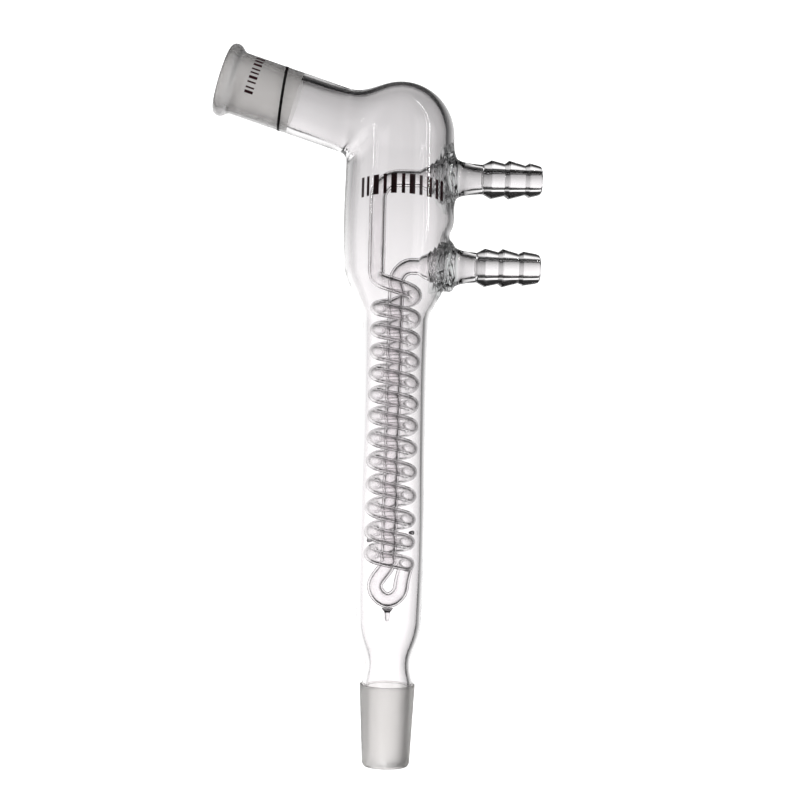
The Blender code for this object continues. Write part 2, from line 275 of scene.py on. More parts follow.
def tint_with_edge_shade(tree, tint, edge_shade):
    """The tint seen straight on, with painted shade where the surface is seen along its edge: there it
    darkens to the tint times the given share, for dark outlines.
    """
    weight = tree.nodes.new("ShaderNodeLayerWeight")
    ramp = tree.nodes.new("ShaderNodeValToRGB")
    ramp.color_ramp.elements[0].color = (*tint, 1.0)
    ramp.color_ramp.elements[1].color = (*(c * edge_shade for c in tint), 1.0)
    ramp.color_ramp.elements[0].position = 0.5
    ramp.color_ramp.elements[1].position = 0.85
    tree.links.new(weight.outputs["Facing"], ramp.inputs["Fac"])
    return ramp.outputs["Color"]


def glass(name, tint, rough, wave, wave_scale, stretch=(1, 1, 1), edge_shade=1.0):
    """Borosilicate glass: clear, with faint drawn waves (height in metres) and a slightly uneven polish; a
    share below 1 paints shade where the glass is seen along its edge.
    """
    material, tree, shader = new_material(name)
    # Painted shade: the base colour darkens where the glass is seen along its edge.
    tree.links.new(tint_with_edge_shade(tree, tint, edge_shade), shader.inputs["Base Color"])
    shader.inputs["Transmission Weight"].default_value = 1.0
    shader.inputs["IOR"].default_value = 1.47
    tree.links.new(spread(tree, noise(tree, 60.0), rough[0], rough[1]), shader.inputs["Roughness"])
    bump(tree, shader, noise(tree, wave_scale, 1.0, stretch), 1.0, wave)
    return material


def ground_glass(name):
    """Frosted ground surface: rough, with fine grit in bump and roughness."""
    material, tree, shader = new_material(name)
    shader.inputs["Base Color"].default_value = (0.84, 0.825, 0.805, 1.0)
    shader.inputs["Transmission Weight"].default_value = 1.0
    shader.inputs["IOR"].default_value = 1.47
    tree.links.new(spread(tree, noise(tree, 900.0), 0.44, 0.6), shader.inputs["Roughness"])
    bump(tree, shader, noise(tree, 4000.0, 2.0), 0.5, 0.00004)
    return material


def enamel(name, dark, light):
    """Fired print: matte ink that varies a little in density."""
    material, tree, shader = new_material(name)
    ramp = tree.nodes.new("ShaderNodeValToRGB")
    ramp.color_ramp.elements[0].color = (*dark, 1.0)
    ramp.color_ramp.elements[1].color = (*light, 1.0)
    ramp.color_ramp.elements[0].position = 0.4
    ramp.color_ramp.elements[1].position = 0.65
    tree.links.new(noise(tree, 2500.0), ramp.inputs["Fac"])
    tree.links.new(ramp.outputs["Color"], shader.inputs["Base Color"])
    shader.inputs["Roughness"].default_value = 0.5
    bump(tree, shader, noise(tree, 5000.0), 0.3, 0.00002)
    return material


CLEAR = glass("clear_glass", (0.99, 0.975, 0.982), rough=(0.0, 0.012), wave=0.00002, wave_scale=90.0,
              stretch=(1, 1, 0.3))
BARB_GLASS = glass("barb_glass", (0.99, 0.975, 0.982), rough=(0.0, 0.012), wave=0.00005, wave_scale=160.0)
# Coil tubes: painted shade along their edges where they are seen side-on, for their dark outlines.
COIL_GLASS = glass("coil_glass", (0.985, 0.975, 0.98), rough=(0.0, 0.004), wave=0.00004, wave_scale=200.0,
                   edge_shade=0.35)
# Pips and the top of the drip point: glass tinted dark grey and darker still along its edges, painted shade
# for how dark they look.
PIP_GLASS = glass("pip_glass", (0.24, 0.23, 0.24), rough=(0.0, 0.01), wave=0.00008, wave_scale=1500.0,
                  edge_shade=0.1)
# Welds: glass tinted grey and much darker along its edges, painted shade that darkens the folded ring seals.
SEAL_GLASS = glass("seal_glass", (0.82, 0.83, 0.83), rough=(0.0, 0.01), wave=0.00024, wave_scale=450.0,
                   stretch=(2.0, 0.4, 0.4), edge_shade=0.1)
GROUND = ground_glass("ground_glass")
MAROON = enamel("maroon_mark", (0.045, 0.003, 0.008), (0.075, 0.006, 0.014))
BLACK = enamel("black_mark", (0.006, 0.004, 0.005), (0.02, 0.012, 0.014))


# ------------------------------------------------------------------- meshes

def add_piece(name, points, faces, materials, slot, replaced=(), material_of=None):
    """A mesh piece that rides on the part; material_of gives each face's material number."""
    mesh = bpy.data.meshes.new(name)
    mesh.from_pydata([tuple(p * MM) for p in points], [], faces)
    for material in materials:
        mesh.materials.append(material)
    if material_of is not None:
        mesh.polygons.foreach_set("material_index", material_of)
    mesh.shade_smooth()
    mesh.set_sharp_from_angle(angle=math.radians(50))
    mesh.update()
    piece = bpy.data.objects.new(name, mesh)
    bpy.context.scene.collection.objects.link(piece)
    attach(piece, "root")
    if replaced:
        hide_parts(*replaced)
    return piece


def point_outward(mesh):
    """Make a closed mesh's faces point outward."""
    net = bmesh.new()
    net.from_mesh(mesh)
    bmesh.ops.recalc_face_normals(net, faces=net.faces)
    net.to_mesh(mesh)
    net.free()


def add_closed(*details):
    """A closed piece, with its faces turned outward."""
    point_outward(add_piece(*details).data)


def loop_faces(rings, segments):
    """Quads between neighbours in a closed loop of rings."""
    faces = []
    for i in range(rings):
        j = (i + 1) % rings
        for k in range(segments):
            n = (k + 1) % segments
            faces.append((i * segments + k, i * segments + n, j * segments + n, j * segments + k))
    return faces


def rounded(profile, radius, steps=4):
    """Round the corners of a closed (radius, height, zone) loop; the zone marks its material."""
    points = []
    count = len(profile)
    for i, (r, h, zone) in enumerate(profile):
        here = np.array((r, h))
        back = np.array(profile[i - 1][:2]) - here
        ahead = np.array(profile[(i + 1) % count][:2]) - here
        reach = min(radius, 0.45 * np.linalg.norm(back), 0.45 * np.linalg.norm(ahead))
        start = here + back / np.linalg.norm(back) * reach
        end = here + ahead / np.linalg.norm(ahead) * reach
        for k in range(steps + 1):
            t = k / steps
            point = start * (1 - t) ** 2 + here * 2 * t * (1 - t) + end * t * t
            points.append((point[0], point[1], profile[i - 1][2] if k == 0 else zone))
    return points


def across(axis):
    """Two unit vectors square to an axis."""
    first = np.cross(axis, (0.0, 1.0, 0.0))
    first /= np.linalg.norm(first)
    return first, np.cross(axis, first)


def lathe(name, loop, base, axis, segments, materials, slot, replaced=()):
    """Turn a closed (radius, height, zone) loop about an axis through base."""
    axis = np.array(axis, float)
    first, second = across(axis)
    angles = np.arange(segments) * math.tau / segments
    rings = []
    for r, h, _ in loop:
        ring = base + axis * h + r * (np.outer(np.cos(angles), first) + np.outer(np.sin(angles), second))
        rings.append(ring)
    faces = loop_faces(len(loop), segments)
    zones = np.repeat([zone for _, _, zone in loop], segments)
    add_closed(name, np.concatenate(rings), faces, materials, slot, replaced, zones)


def sweep(name, path, outer, inner, segments, material, slot, replaced, finish):
    """A hollow tube along a path, with a radius outside and inside at each point; finish moves its points."""
    path = np.array(path)
    tangents = np.gradient(path, axis=0)
    tangents /= np.linalg.norm(tangents, axis=1)[:, None]
    side = np.cross(tangents[0], (0.0, 1.0, 0.0))
    side /= np.linalg.norm(side)
    angles = np.arange(segments) * math.tau / segments
    outside, inside = [], []
    for i, (centre, tangent) in enumerate(zip(path, tangents)):
        side = side - tangent * np.dot(side, tangent)
        side /= np.linalg.norm(side)
        ring = np.outer(np.cos(angles), side) + np.outer(np.sin(angles), np.cross(tangent, side))
        outside.append(centre + ring * outer[i])
        inside.append(centre + ring * inner[i])
    loop = outside + inside[::-1]
    faces = loop_faces(len(loop), segments)
    add_closed(name, finish(np.concatenate(loop)), faces, [material], slot, replaced)


# ------------------------------------------- blown envelope, as a distance field

def cubic(t, start, leaving, end, arriving):
    """Smooth blend from start to end, with the given slopes."""
    return ((2 * t**3 - 3 * t**2 + 1) * start + (t**3 - 2 * t**2 + t) * leaving
            + (3 * t**2 - 2 * t**3) * end + (t**3 - t**2) * arriving)


def ease(share):
    """Smooth step from 0 to 1."""
    return share * share * (3 - 2 * share)


def smooth_line(knots, step=0.1):
    """Smooth curve of radius over place through the knots, sampled finely."""
    radii, places = (np.array(values) for values in zip(*knots))
    slopes = np.gradient(radii, places)
    fine = np.arange(places[0], places[-1], step)
    i = np.clip(np.searchsorted(places, fine, side="right") - 1, 0, len(places) - 2)
    width = places[i + 1] - places[i]
    t = (fine - places[i]) / width
    values = cubic(t, radii[i], width * slopes[i], radii[i + 1], width * slopes[i + 1])
    return fine, values, np.gradient(values, fine)


def beyond(distance, place, line):
    """Distance outside a turned outline, at a distance from its axis and a place along it."""
    places, radii, slopes = line
    return (distance - np.interp(place, places, radii)) / np.hypot(1, np.interp(place, places, slopes))


def blend_fields(a, b, reach):
    """Smooth union of two distance fields."""
    h = np.clip(0.5 + 0.5 * (b - a) / reach, 0, 1)
    return b * (1 - h) + a * h - reach * h * (1 - h)


def bore_knots():
    """The blown body's outline, moved inward by its wall."""
    outline = NECK + SHOULDER
    thicknesses, places = zip(*WALLS)
    walls = np.interp([z for _, z in outline], places, thicknesses)
    return [(r - w, z) for (r, z), w in zip(outline, walls)]


BODY = smooth_line(NECK + SHOULDER)
BORE = smooth_line(bore_knots())
ARM = smooth_line([(ARM_R, 0.0), (ARM_R, 20.0), (ARM_R, 40.0), (ARM_R, 43.5), (ARM_R + 0.05, 44.6),
                   (8.4, 45.1), (8.95, 45.65), (9.38, 46.35), (9.55, 47.3), (9.3, 48.05), (8.9, 48.5),
                   (8.45, MOUTH), (8.0, 49.2)])
ARM_BORE = smooth_line([(7.1, 0.0), (7.1, 10.0), (6.95, 15.0), (6.6, 19.0), (6.35, 24.0), (6.3, 28.0),
                        (JOINT_NARROW_R, 29.0), (JOINT_NARROW_R + 0.1, 31.0), (JOINT_WIDE_R - 0.05, 46.5),
                        (JOINT_WIDE_R + 0.1, 47.8), (7.9, 49.2)])
PORT = smooth_line([(SEAL_R, PORT_START), (SEAL_R, 12.5), (6.6, 14.0), (6.0, 14.7), (5.2, 15.4), (4.7, 16.2),
                    (4.35, 17.4), (4.1, 19.0), (3.95, 20.6), (3.95, 30.0)])
PORT_BORE = smooth_line([(4.9, PORT_START), (4.9, 13.0), (4.6, 14.6), (3.9, 15.9), (3.1, 17.4), (2.6, 19.2),
                         (2.3, 21.5), (2.2, 30.0)])


def dent(p):
    """How far the lower weld has pulled the bulb's wall in."""
    up, sideways = (p[..., 2] - DENT_HEIGHT) / DENT_REACH[0], p[..., 1] / DENT_REACH[1]
    return DENT_DEPTH * np.exp(-(up**2) - sideways**2) * (p[..., 0] > 0)


def body_field(p, line, dome_radius, dome_stretch=1.0):
    """Distance to neck, jacket, shoulder and dome."""
    height = p[..., 2]
    shift = BULB_SHIFT * ease(np.clip((height - SHIFT_START) / SHIFT_LENGTH, 0, 1))
    radius = np.hypot(p[..., 0] - shift, p[..., 1])
    dome = np.sqrt(radius**2 + ((height - DOME_CENTRE) / dome_stretch) ** 2) - dome_radius
    return np.where(height > DOME_CENTRE, dome, beyond(radius, height, line)) + dent(p)


def arm_coordinates(p):
    """Distance along the side arm from the bulb's axis, and distance from the arm's own axis."""
    rel = p - ARM_BASE
    along = rel @ ARM_AXIS
    return along, np.linalg.norm(rel - np.maximum(along, 0)[..., None] * ARM_AXIS, axis=-1)


def port_coordinates(p, side):
    """Distance along a port's axis, distance from it, and angle round it."""
    up = p[..., 2] - PORTS[side]
    return p[..., 0], np.hypot(p[..., 1], up), np.arctan2(p[..., 1], up)


# Each fold: its rate along X, how it turns round the port, its phase and its height
RIPPLES = np.random.default_rng(5).uniform((2.4, -2.0, 0.0, 0.5), (6.2, 2.0, math.tau, 1.0), (8, 4))


def ripple(p, side, start, end):
    """Folds of the weld: rings that follow the bulb's wall, and fade out at both ends."""
    along, off, angle = port_coordinates(p, side)
    depth = np.hypot(p[..., 0], p[..., 1])
    start_fade, end_fade, edge_fade = FOLD_FADES
    share = np.clip((depth - start) / start_fade, 0, 1) * np.clip((end - depth) / end_fade, 0, 1)
    share = share * np.clip((FOLD_REACH - off) / edge_fade, 0, 1) * (along > 0)
    near = share > 0
    folds = np.zeros(p.shape[:-1])
    a, w, o = depth[near], angle[near], off[near]
    for rate, twist, phase, height in RIPPLES:
        wobble = FOLD_WOBBLE * np.sin(2 * w + 3 * twist)
        folds[near] += height * np.sin(rate * a + phase + wobble + FOLD_SLANT * o)
    return folds * share * FOLD_HEIGHT


def envelope_field(p, rippled=False):
    """Signed distance of the whole blown envelope, with its ring seals and port necks."""
    along, off = arm_coordinates(p)
    along = np.maximum(along, 0)
    grown = ease(np.clip((p[..., 2] - ARM_BLEND_START) / ARM_BLEND_LENGTH, 0, 1))
    reach = ARM_BLEND + ARM_BLEND_MORE * grown
    outside = blend_fields(body_field(p, BODY, BULB_R), beyond(off, along, ARM), reach)
    inside = body_field(p, BORE, DOME_BORE_R, DOME_BORE_STRETCH)
    inside = blend_fields(inside, beyond(off, along, ARM_BORE), reach)
    folds = 0
    for side in PORTS:
        along, off, _ = port_coordinates(p, side)
        neck = np.maximum(beyond(off, along, PORT), PORT_START - along)
        outside = blend_fields(outside, neck, PORT_BLEND)
        inside = np.maximum(inside, -np.maximum(off - SEAL_R - SEAL_MARGIN, SEAL_START - along))
        inside = np.minimum(inside, np.maximum(beyond(off, along, PORT_BORE), PORT_START - along))
        if rippled:
            folds = folds + ripple(p, side, *FOLD_DEPTHS)
    return np.maximum(outside, -inside) + folds


def settle(points, field):
    """Move points exactly onto a field's zero surface."""
    points = points.copy()
    probe = 0.02
    longest = 0.3
    for _ in range(3):
        value = field(points)
        rises = [field(points + d) - field(points - d) for d in np.eye(3) * probe]
        slope = np.stack(rises, -1) / (2 * probe)
        steep = np.maximum((slope**2).sum(-1), 0.3)
        points -= np.clip(value / steep, -longest, longest)[:, None] * slope
    return points


def field_mesh(field, low, high, cell):
    """Quads on a distance field's zero surface."""
    axes = [np.arange(low[i], high[i] + cell, cell) for i in range(3)]
    values = np.empty([len(axis) for axis in axes], np.float32)
    band = 4 * cell
    for i, x in enumerate(axes[0]):
        slab = np.stack(np.meshgrid([x], axes[1], axes[2], indexing="ij"), -1)
        values[i] = np.clip(field(slab)[0], -band, band)
    grid = openvdb.FloatGrid(band)
    grid.copyFromArray(values)
    grid.transform = openvdb.createLinearTransform(voxelSize=cell)
    points, triangles, quads = grid.convertToPolygons(0.0, 0.0)
    faces = [tuple(f) for f in triangles] + [tuple(f) for f in quads]
    return settle(points.astype(float) + np.array(low), field), faces


def near_parts(net, centre, reach=14):
    """Vertices, edges and faces close to a place."""
    near = [v for v in net.verts if (v.co - Vector(centre)).length < reach]
    inside = set(near)
    edges = [e for e in net.edges if inside.issuperset(e.verts)]
    return near + edges + [f for f in net.faces if inside.issuperset(f.verts)]


def trim(net, cuts):
    """Cut a mesh square at planes and close each cut with a flat ring between its two rims."""
    for centre, direction in cuts:
        bmesh.ops.bisect_plane(net, geom=near_parts(net, centre), plane_co=centre, plane_no=direction,
                               clear_outer=True, dist=0.001)
        bmesh.ops.bridge_loops(net, edges=[e for e in net.edges if len(e.link_faces) == 1])


def in_weld(points):
    """Which points lie in the folded glass round a port."""
    margin = 0.2
    start, end = FOLD_DEPTHS
    depth = np.hypot(points[:, 0], points[:, 1])
    near = np.zeros(len(points), bool)
    for side in PORTS:
        along, off, _ = port_coordinates(points, side)
        close = (along > PORT_SIDE) & (off < FOLD_REACH + margin)
        near |= close & (depth > start - margin) & (depth < end + margin)
    return near


def in_ground_bore(points):
    """Which points lie on the ground bore of the socket, but not on its flat mouth."""
    along, off = arm_coordinates(points)
    touching = abs(beyond(off, along, ARM_BORE)) < 0.25
    return touching & (along > GROUND_START) & (along < MOUTH - 0.02)


def blown_mesh():
    """Mesh of the whole envelope, with its ends still rough."""
    margin = 1.5
    low = (cad_low[0] / MM - margin, -BULB_R - margin, NECK_FOOT - margin)
    high = (PORT_ENDS["upper"] + margin, BULB_R + margin, cad_high[2] / MM + margin)
    points, faces = field_mesh(envelope_field, low, high, ENVELOPE_CELL)
    net = bmesh.new()
    verts = [net.verts.new(p) for p in points]
    for face in faces:
        net.faces.new([verts[i] for i in face])
    return net


def cut_ends(net):
    """Square ends at the neck, the mouth and the barbs, and an edge where the ground bore starts."""
    cuts = [((0, 0, NECK_FOOT + SEAM), (0, 0, -1)), (tuple(ARM_BASE + ARM_AXIS * MOUTH), tuple(ARM_AXIS))]
    cuts += [((PORT_ENDS[side], 0, PORTS[side]), (1, 0, 0)) for side in PORTS]
    trim(net, cuts)
    ground = ARM_BASE + ARM_AXIS * GROUND_START
    bmesh.ops.bisect_plane(net, geom=near_parts(net, ground), plane_co=ground, plane_no=ARM_AXIS, dist=0.001)


def refine_welds(net):
    """Finer faces in the welds, where the folds are."""
    welds = in_weld(np.array([f.calc_center_median()[:] for f in net.faces]))
    edges = dict.fromkeys(e for f, weld in zip(net.faces[:], welds) if weld for e in f.edges)
    bmesh.ops.subdivide_edges(net, edges=list(edges), cuts=2, use_grid_fill=True)
    net.verts.index_update()


def make_envelope():
    """Socket, side arm, bulb, jacket, neck and both port necks as one blown body."""
    net = blown_mesh()
    cut_ends(net)
    refine_welds(net)
    points = np.array([v.co[:] for v in net.verts])
    loose = in_weld(points)
    points[loose] = settle(points[loose], lambda p: envelope_field(p, True))
    faces = [tuple(v.index for v in f.verts) for f in net.faces]
    net.free()
    centres = np.array([points[list(f)].mean(0) for f in faces])
    replaced = ("socket_joint", "bulb", "side_arm", "jacket_tube", "drip_neck", "upper_ring_seal",
                "lower_ring_seal")
    # The welds take the grey seal glass: painted shade.
    add_piece("glass_envelope", points, faces, [CLEAR, SEAL_GLASS, GROUND], "clear_glass", replaced,
              in_weld(centres) + 2 * in_ground_bore(centres))


# ------------------------------------------------------------- other pieces

def make_cone():
    """Ground cone with its bore; its recessed top takes the foot of the neck."""
    foot = [(6.78, NECK_FOOT, 1), (6.78, CONE_TOP, 0)]
    outer = [(JOINT_WIDE_R, CONE_TOP, 0), (JOINT_NARROW_R, 1.5, 0), (JOINT_NARROW_R - 0.08, 0.7, 0),
             (JOINT_NARROW_R - 0.4, 0.08, 0), (JOINT_NARROW_R - 0.9, 0.0, 0), (5.0, 0.0, 1)]
    inner = [(4.75, 0.5, 1), (4.85, 2.0, 1), (5.35, NECK_FOOT, 1)]
    lathe("ground_cone", rounded(foot + outer + inner, POLISHED_CORNER), np.zeros(3), (0, 0, 1), 128,
          [GROUND, CLEAR], "ground_glass", ("cone_joint",))


def make_barb(side):
    """Hose barb: three sharp teeth and a bore that narrows to the end."""
    root = PORT_ENDS[side] + SEAM
    teeth = [(4.5, 34.3), (3.85, 33.2), (5.05, 28.9), (4.2, 27.8), (5.05, 24.3), (3.9, 22.2)]
    outer = [(3.0, BARB_END), (3.65, BARB_END - 0.4), (3.95, BARB_END - 1.3)]
    outer += [(r, x - TOOTH_SHIFT[side]) for r, x in teeth] + [(3.95, root)]
    inner = [(2.3, root), (2.1, 24), (1.9, BARB_END)]
    loop = rounded([(r, x, 0) for r, x in outer + inner], POLISHED_CORNER)
    lathe(side + "_barb_glass", loop, np.array((0, 0, PORTS[side])), (1, 0, 0), 80, [BARB_GLASS],
          "clear_glass", (side + "_hose_barb",))


def lean_x(height):
    """Where the leaning axis of coil and core is at a height."""
    share = (height - CORE_BOTTOM) / (COIL_TOP - CORE_BOTTOM)
    return LEAN_LOW_X + (LEAN_TOP_X - LEAN_LOW_X) * min(max(share, 0), 1)


def coil_point(turns):
    """Place on the coil's centreline after a number of turns from the upper left."""
    angle = math.pi + turns * math.tau
    steep = max(1 - turns / FIRST_TURN_END, 0)
    height = COIL_TOP - COIL_PITCH * turns + FIRST_TURN_RISE * steep**2
    height += np.interp(turns, *COIL_UNEVEN)
    centre_x = lean_x(height) + COIL_SHIFT
    return np.array((centre_x + COIL_R * math.cos(angle), COIL_R * math.sin(angle), height))


def coil_direction(turns):
    """Unit direction of travel along the coil."""
    step = coil_point(turns + 0.001) - coil_point(turns - 0.001)
    return step / np.linalg.norm(step)


def hermite(start, leaving, end, arriving, count):
    """Smooth path between two points with the given end directions, without its last point."""
    t = (np.arange(count) / count)[:, None]
    return cubic(t, *(np.array(value) for value in (start, leaving, end, arriving)))


def straight(start, end, count):
    """Evenly spaced points, without the last one."""
    t = (np.arange(count) / count)[:, None]
    return np.array(start) * (1 - t) + np.array(end) * t


def port_run(height, bend_x, bend_radius):
    """Path from a ring seal, level towards the middle and round a bend to straight down."""
    bend_centre = np.array((bend_x + bend_radius, 0.0, height - bend_radius))
    level = straight((SEAL_START - FUNNEL_GAP, 0, height), (bend_centre[0], 0, height), 60)
    angles = np.radians(np.linspace(0, 90, 19))[:, None]
    turn = bend_centre + bend_radius * (np.sin(angles) * (-1, 0, 0) + np.cos(angles) * (0, 0, 1))
    return np.concatenate((level, turn))


def funnel_radius(x, tube_r):
    """Outer radius of the trumpet that opens from a port tube to its ring seal."""
    trumpet = [(2.95, 7.0), (3.5, 8.2), (4.6, 9.7), (5.9, 11.2), (6.3, 12.2)]
    places, radii, _ = smooth_line([(tube_r, 5.0), (tube_r, FUNNEL_START)] + trumpet)
    return np.interp(x, places, radii)


def wrinkle_funnels(points):
    """Ripple the trumpets where they run into their ring seals."""
    for side in PORTS:
        near = (points[:, 0] > PORT_SIDE) & (abs(points[:, 2] - PORTS[side]) < FUNNEL_REACH)
        along, off, _ = port_coordinates(points[near], side)
        folds = ripple(points[near], side, FUNNEL_FOLD_START, FOLD_DEPTHS[1])
        grown = 1 + FUNNEL_FOLD_SHARE * folds / off
        points[near, 1] *= grown
        points[near, 2] = PORTS[side] + (points[near, 2] - PORTS[side]) * grown
    return points


def return_path():
    """From the coil's end down, round the bottom and up to the foot of the core tube."""
    right = (3.1, 0.5, 47.0)
    bottom = (LEAN_LOW_X, 0, 43.45)
    left = (-3.85, 0, 47.2)
    core_foot = (LEAN_LOW_X, 0, CORE_BOTTOM)
    end, leaving = coil_point(COIL_TURNS), coil_direction(COIL_TURNS)
    return np.concatenate((hermite(end, leaving * 6, right, (-0.6, -0.6, -8), 14),
                           hermite(right, (-0.4, -0.4, -5.5), bottom, (-5.2, 0, 0), 10),
                           hermite(bottom, (-5.2, 0, 0), left, (0, 0, 5.5), 10),
                           hermite(left, (0, 0, 6), core_foot, (0, 0, 5), 12)))


def water_runs():
    """The water's way in order, as stretches of (path, outer radius)."""
    inlet = port_run(PORTS["upper"], DOWN_X, INLET_BEND_R)
    down_end = np.array((DOWN_X, 0, DOWN_BOTTOM - 0.3))
    down = straight(inlet[-1] - (0, 0, 0.5), down_end, 24)
    coil_start = coil_point(LEAD_TURN), coil_direction(LEAD_TURN) * 4.5
    lead_in = hermite(down_end, (0, 0, -6.5), *coil_start, 10)
    coil = np.array([coil_point(t) for t in np.linspace(LEAD_TURN, COIL_TURNS, 620)[:-1]])
    bend = return_path()
    outlet = port_run(PORTS["lower"], LEAN_TOP_X, OUTLET_BEND_R)[::-1]
    core = straight((LEAN_LOW_X, 0, CORE_BOTTOM), outlet[0] - (0, 0, 0.5), 60)
    return [(inlet, funnel_radius(inlet[:, 0], PORT_TUBE_R)), (down, np.full(len(down), PORT_TUBE_R)),
            (lead_in, np.linspace(PORT_TUBE_R, COIL_TUBE_R, len(lead_in))),
            (coil, np.full(len(coil), COIL_TUBE_R)), (bend, np.linspace(COIL_TUBE_R, CORE_R, len(bend))),
            (core, np.full(len(core), CORE_R)), (outlet, funnel_radius(outlet[:, 0], CORE_R))]


def make_water_tube():
    """Inlet, down tube, coil, return bend, core tube and outlet: one tube from seal to seal."""
    paths, radii = zip(*water_runs())
    outer = np.concatenate(radii)
    growth = np.clip((outer - WALL_GROWTH_START) * WALL_GROWTH, 0, WALL_GROWTH_MOST)
    inner = outer - TUBE_WALL - growth
    sweep("water_tube", np.concatenate(paths), outer, inner, 48, COIL_GLASS, "coil_glass",
          ("inlet_elbow", "down_tube", "coil", "return_bend", "core_tube", "outlet_elbow"), wrinkle_funnels)


def make_drip_tip():
    """Solid drawn point under the return bend."""
    top = 41.35
    loop = [(0.02, top, 1), (1.6, top, 1), (1.0, 40.6, 1), (0.66, 40.1, 0), (0.6, 38.5, 0),
            (0.4, 37.95, 0), (0.02, 37.8, 0)]
    # The top zone takes the dark pip glass: painted shade.
    lathe("drip_point", rounded(loop, MELTED_CORNER), np.array((LEAN_LOW_X, 0, 0)), (0, 0, 1), 32,
          [COIL_GLASS, PIP_GLASS], "coil_glass", ("drip_tip",))


def make_pips():
    """Melted pips between the coil and the jacket."""
    for name in ("spacer_front", "spacer_right", "spacer_left"):
        centre = middle(name)
        outward = np.array((centre[0], centre[1], 0.0))
        outward /= np.linalg.norm(outward)
        reach = float(np.dot(centre, outward))
        loop = [(0.02, 1.2, 0), (0.6, 1.2, 0), (0.58, 0.8, 0), (0.52, 0.4, 0), (0.4, -0.05, 0),
                (0.25, -0.35, 0), (0.02, -0.4, 0)]
        base = outward * reach + np.array((0, 0, centre[2]))
        # Dark pip glass: painted shade.
        lathe(name + "_glass", rounded(loop, MELTED_CORNER), base, outward, 24, [PIP_GLASS], "coil_glass",
              (name,))


# -------------------------------------------------------------------- marks

def patch(place, columns, rows):
    """A thin printed patch: place(u, v) gives a point on the glass and the outward direction."""
    spots = [place(j / columns, i / rows) for i in range(rows + 1) for j in range(columns + 1)]
    grid, normals = (np.array(values) for values in zip(*spots))
    points = np.concatenate((grid + normals * PRINT_LIFT, grid + normals * (PRINT_LIFT + PRINT_THICKNESS)))
    width = columns + 1
    count = width * (rows + 1)
    faces = []
    for i in range(rows):
        for j in range(columns):
            a = i * width + j
            b, c, d = a + 1, a + width + 1, a + width
            faces += [(a, d, c, b), (a + count, b + count, c + count, d + count)]
    rim = list(range(width))
    rim += [i * width + columns for i in range(1, rows + 1)]
    rim += [rows * width + j for j in range(columns - 1, -1, -1)]
    rim += [i * width for i in range(rows - 1, 0, -1)]
    faces += [(a, b, b + count, a + count) for a, b in zip(rim, rim[1:] + rim[:1])]
    return points, faces


def make_prints(name, spans, place, columns, rows):
    """A row of maroon bars: place(span, u, v) lies on the glass."""
    points, faces = [], []
    for span in spans:
        new_points, new_faces = patch(lambda u, v: place(span, u, v), columns, rows)
        faces += [tuple(i + len(points) for i in f) for f in new_faces]
        points += list(new_points)
    add_closed(name, np.array(points), faces, [MAROON], "maroon_mark")


def bulb_place(span, u, v):
    """Point and outward direction in a bar on the front of the bulb."""
    angle = math.radians(span[0] + (span[1] - span[0]) * u)
    height = BARS_FOOT + BARS_HEIGHT * v - BARS_DIP * math.sin(angle) ** 2
    outward = np.array((math.sin(angle), -math.cos(angle), 0.0))
    return outward * BULB_R + np.array((BULB_SHIFT, 0, height)), outward


def socket_place(along, angle):
    """Point and outward direction on the socket; the angle runs up from the front."""
    front = np.cross(ARM_AXIS, (0.0, 0.0, 1.0))
    front /= np.linalg.norm(front)
    if front[1] > 0:
        front = -front
    up = np.cross(front, ARM_AXIS)
    if up[2] < 0:
        up = -up
    outward = math.cos(angle) * front + math.sin(angle) * up
    return ARM_BASE + ARM_AXIS * along + outward * ARM_R, outward


def tick_place(span, u, v):
    """Point and outward direction in a tick on the socket."""
    along = TICKS_START + TICKS_LENGTH * (1 - u)
    return socket_place(along, math.radians(span[0] + (span[1] - span[0]) * v))


def make_socket_line():
    """The black line drawn round the socket."""
    steps = 96
    low, high = PRINT_LIFT, PRINT_LIFT + PRINT_THICKNESS
    section = [(-LINE_HALF_WIDTH, low), (LINE_HALF_WIDTH, low), (LINE_HALF_WIDTH, high),
               (-LINE_HALF_WIDTH, high)]
    points = []
    for angle in np.arange(steps) * math.tau / steps:
        for along, lift in section:
            point, outward = socket_place(LINE_PLACE + LINE_WAVE * math.sin(angle) + along, angle)
            points.append(point + outward * lift)
    add_closed("socket_line", np.array(points), loop_faces(steps, len(section)), [BLACK], "black_mark")


# ------------------------------------------------------- floor, light, camera

def grey_ramp(tree, source, low, high, stops):
    """Brightness at places between low and high, as a share of FULL_LIGHT."""
    share = tree.nodes.new("ShaderNodeMapRange")
    share.inputs["From Min"].default_value = low
    share.inputs["From Max"].default_value = high
    tree.links.new(source, share.inputs["Value"])
    table = tree.nodes.new("ShaderNodeValToRGB")
    while len(table.color_ramp.elements) < len(stops):
        table.color_ramp.elements.new(0.5)
    for element, (place, value) in zip(table.color_ramp.elements, stops):
        element.position = (place - low) / (high - low)
        element.color = (value, value, value, 1)
    tree.links.new(share.outputs["Result"], table.inputs["Fac"])
    return table.outputs["Color"]


def around_ramp(tree, vector):
    """Height of a vector, and a grey by its compass direction: 0 is behind the object, 90 its right."""
    parts = tree.nodes.new("ShaderNodeSeparateXYZ")
    tree.links.new(vector, parts.inputs["Vector"])
    azimuth = tree.nodes.new("ShaderNodeMath")
    azimuth.operation = "ARCTAN2"
    tree.links.new(parts.outputs["X"], azimuth.inputs[0])
    tree.links.new(parts.outputs["Y"], azimuth.inputs[1])
    stops = [(math.radians(place), value) for place, value in LIGHT_AROUND]
    return parts.outputs["Z"], grey_ramp(tree, azimuth.outputs[0], -math.pi, math.pi, stops)


